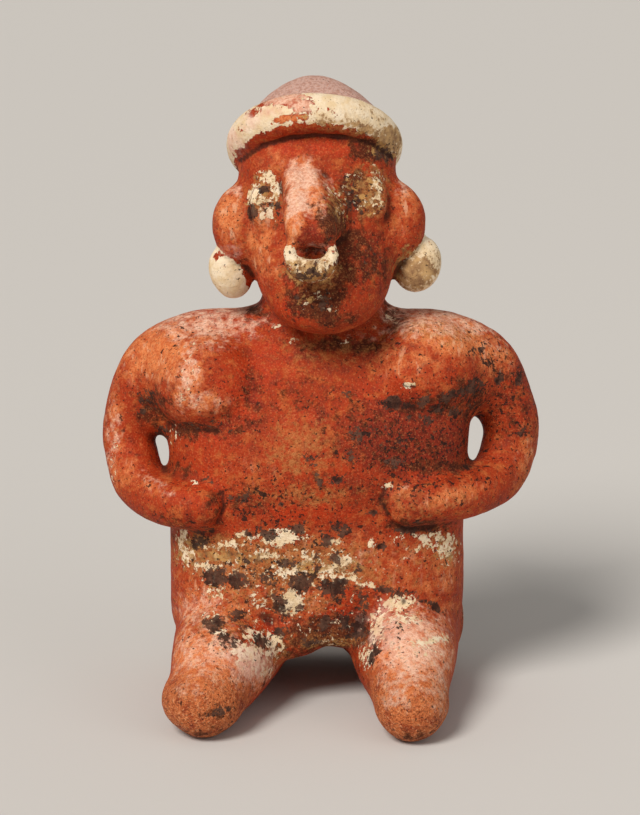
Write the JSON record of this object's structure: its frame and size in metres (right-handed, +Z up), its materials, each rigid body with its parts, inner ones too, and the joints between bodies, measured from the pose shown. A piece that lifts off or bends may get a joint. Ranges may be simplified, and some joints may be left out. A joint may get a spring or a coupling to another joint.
{
  "type": "seated terracotta woman",
  "caption": "Seated clay woman with hands on the belly, rolled headband, nose ring and ear ornaments, in worn red slip with flaking cream and dark paint.",
  "frame": {"origin": "on the surface that the figure sits on, under the middle of its bounding box", "axes": "+Z up through the head, the figure faces -Y, +X is on the viewer's right"},
  "size_m": [0.1748, 0.1198, 0.245],
  "materials": {
    "terracotta": "matte burnished red slip, worn, with flaking cream and dark grey paint"
  },
  "bodies": {
    "root": {"seated_woman": "terracotta"}
  },
  "joints": []
}
